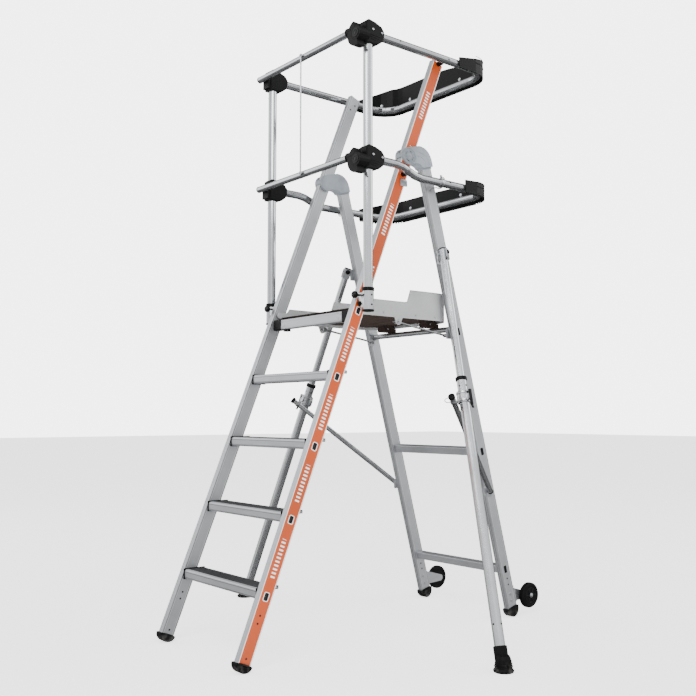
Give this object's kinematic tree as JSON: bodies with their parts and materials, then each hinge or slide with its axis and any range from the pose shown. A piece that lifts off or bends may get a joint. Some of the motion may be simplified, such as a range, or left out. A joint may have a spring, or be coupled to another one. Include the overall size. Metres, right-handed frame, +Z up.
{
  "type": "baker scaffold",
  "caption": "Folding mobile aluminium work platform with treads, guardrail, lifting gate, outrigger legs and two rear wheels",
  "frame": {"origin": "on the floor under the middle of the whole platform", "axes": "+Z up, +X to the climber's right, +Y from the treads towards the wheels"},
  "size_m": [1.555, 1.4373, 2.252],
  "materials": {
    "satin_aluminium": "satin",
    "bright_aluminium": "satin",
    "sheet_aluminium": "satin",
    "orange_paint": "satin",
    "black_plastic": "matte",
    "grey_plastic": "matte",
    "black_rubber": "matte",
    "dark_ply": "matte"
  },
  "bodies": {
    "front_frame": {"front_stile_right": "orange_paint", "front_stile_left": "satin_aluminium", "front_foot_right": "black_rubber", "front_foot_left": "black_rubber", "step_1": "satin_aluminium", "step_2": "satin_aluminium", "step_3": "satin_aluminium", "step_4": "satin_aluminium", "platform_front_beam": "satin_aluminium", "beam_end_block_right": "black_plastic", "beam_end_block_left": "black_plastic", "guard_post_right": "bright_aluminium", "guard_post_left": "bright_aluminium", "post_sleeve_right": "bright_aluminium", "post_sleeve_left": "bright_aluminium", "guard_joint_upper_right": "black_plastic", "guard_joint_upper_left": "black_plastic", "guard_joint_lower_right": "black_plastic", "guard_joint_lower_left": "black_plastic", "guard_rail_upper": "bright_aluminium", "guard_rail_lower": "bright_aluminium", "rail_tray_upper": "black_plastic", "rail_tray_lower": "black_plastic"},
    "rear_frame": {"rear_stile_right": "satin_aluminium", "rear_stile_left": "satin_aluminium", "elbow_right": "grey_plastic", "elbow_left": "grey_plastic", "rear_rung_lower": "satin_aluminium", "rear_rung_upper": "satin_aluminium", "rear_cross_tube": "bright_aluminium", "rear_foot_right": "black_rubber", "rear_foot_left": "black_rubber", "wheel_bracket_right": "satin_aluminium", "wheel_bracket_left": "satin_aluminium", "leg_clevis_right": "satin_aluminium", "leg_clevis_left": "satin_aluminium"},
    "platform": {"platform_deck": "dark_ply", "toe_board": "sheet_aluminium"},
    "lock_rod_body_right": {"lock_rod_right": "bright_aluminium"},
    "lock_rod_body_left": {"lock_rod_left": "bright_aluminium"},
    "gate_upper": {"gate_hinge_upper": "black_plastic", "gate_bar_upper": "bright_aluminium"},
    "gate_lower": {"gate_hinge_lower": "black_plastic", "gate_bar_lower": "bright_aluminium"},
    "gate_link_body": {"gate_link": "bright_aluminium"},
    "wheel_body_right": {"wheel_right": "black_rubber"},
    "wheel_body_left": {"wheel_left": "black_rubber"},
    "knob_body_right": {"sleeve_knob_right": "black_plastic"},
    "knob_body_left": {"sleeve_knob_left": "black_plastic"},
    "leg_upper_right": {"leg_upper_tube_right": "bright_aluminium"},
    "leg_upper_left": {"leg_upper_tube_left": "bright_aluminium"},
    "leg_lower_right": {"leg_lower_tube_right": "bright_aluminium", "leg_clamp_right": "bright_aluminium", "leg_foot_right": "black_rubber"},
    "leg_lower_left": {"leg_lower_tube_left": "bright_aluminium", "leg_clamp_left": "bright_aluminium", "leg_foot_left": "black_rubber"},
    "strut_right": {"leg_strut_right": "bright_aluminium"},
    "strut_left": {"leg_strut_left": "bright_aluminium"}
  },
  "joints": [
    {"name": "rear_frame_fold", "type": "hinge", "parent": "front_frame", "child": "rear_frame", "pos_m": [0, 0.0216, 1.754], "axis": [-1, 0, 0], "range_deg": [0, 36]},
    {"name": "platform_fold", "type": "hinge", "parent": "front_frame", "child": "platform", "pos_m": [0, -0.2094, 1.186], "axis": [1, 0, 0], "range_deg": [0, 67]},
    {"name": "lock_rod_swing_right", "type": "hinge", "parent": "rear_frame", "child": "lock_rod_body_right", "pos_m": [0.212, 0.2576, 1.103], "axis": [1, 0, 0], "range_deg": [0, 119]},
    {"name": "lock_rod_swing_left", "type": "hinge", "parent": "rear_frame", "child": "lock_rod_body_left", "pos_m": [-0.212, 0.2576, 1.103], "axis": [1, 0, 0], "range_deg": [0, 119]},
    {"name": "gate_upper_lift", "type": "hinge", "parent": "front_frame", "child": "gate_upper", "pos_m": [0.308, -0.2524, 2.134], "axis": [0, 1, 0], "range_deg": [0, 78]},
    {"name": "gate_lower_lift", "type": "hinge", "parent": "front_frame", "child": "gate_lower", "pos_m": [0.308, -0.2524, 1.682], "axis": [0, 1, 0], "range_deg": [0, 78]},
    {"name": "gate_link_swing", "type": "hinge", "parent": "gate_upper", "child": "gate_link_body", "pos_m": [-0.015, -0.2704, 2.152], "axis": [0, 1, 0], "range_deg": [-78, 0]},
    {"name": "leg_swing_right", "type": "hinge", "parent": "rear_frame", "child": "leg_upper_right", "pos_m": [0.288, 0.1736, 1.405], "axis": [0.855, 0.4746, 0.2091], "range_deg": [0, 33]},
    {"name": "leg_swing_left", "type": "hinge", "parent": "rear_frame", "child": "leg_upper_left", "pos_m": [-0.288, 0.1736, 1.405], "axis": [0.855, -0.4746, -0.2091], "range_deg": [0, 33]},
    {"name": "leg_slide_right", "type": "slide", "parent": "leg_upper_right", "child": "leg_lower_right", "axis": [-0.3075, 0.1394, 0.9413], "range_m": [0, 0.4]},
    {"name": "leg_slide_left", "type": "slide", "parent": "leg_upper_left", "child": "leg_lower_left", "axis": [0.3075, 0.1394, 0.9413], "range_m": [0, 0.4]},
    {"name": "strut_swing_right", "type": "hinge", "parent": "rear_frame", "child": "strut_right", "pos_m": [0.272, 0.4396, 0.5], "axis": [-0.8151, -0.5508, -0.1794], "range_deg": [0, 36.3]},
    {"name": "strut_swing_left", "type": "hinge", "parent": "rear_frame", "child": "strut_left", "pos_m": [-0.272, 0.4396, 0.5], "axis": [-0.8151, 0.5508, 0.1794], "range_deg": [0, 36.3]},
    {"name": "wheel_spin_right", "type": "hinge", "parent": "rear_frame", "child": "wheel_body_right", "pos_m": [0.2625, 0.6696, 0.075], "axis": [1, 0, 0], "continuous": true},
    {"name": "wheel_spin_left", "type": "hinge", "parent": "rear_frame", "child": "wheel_body_left", "pos_m": [-0.2625, 0.6696, 0.075], "axis": [1, 0, 0], "continuous": true},
    {"name": "knob_turn_right", "type": "hinge", "parent": "front_frame", "child": "knob_body_right", "pos_m": [0.272, -0.2514, 1.214], "axis": [0, 1, 0], "range_deg": [0, 360]},
    {"name": "knob_turn_left", "type": "hinge", "parent": "front_frame", "child": "knob_body_left", "pos_m": [-0.272, -0.2514, 1.214], "axis": [0, 1, 0], "range_deg": [0, 360]}
  ],
  "couplings": [
    {"joint": "platform_fold", "follows": "rear_frame_fold", "ratio": 1.8611},
    {"joint": "lock_rod_swing_right", "follows": "rear_frame_fold", "ratio": 3.3056},
    {"joint": "lock_rod_swing_left", "follows": "rear_frame_fold", "ratio": 3.3056},
    {"joint": "gate_lower_lift", "follows": "gate_upper_lift", "ratio": 1},
    {"joint": "gate_link_swing", "follows": "gate_upper_lift", "ratio": -1},
    {"joint": "strut_swing_right", "follows": "leg_swing_right", "ratio": 1.1},
    {"joint": "strut_swing_left", "follows": "leg_swing_left", "ratio": 1.1}
  ]
}
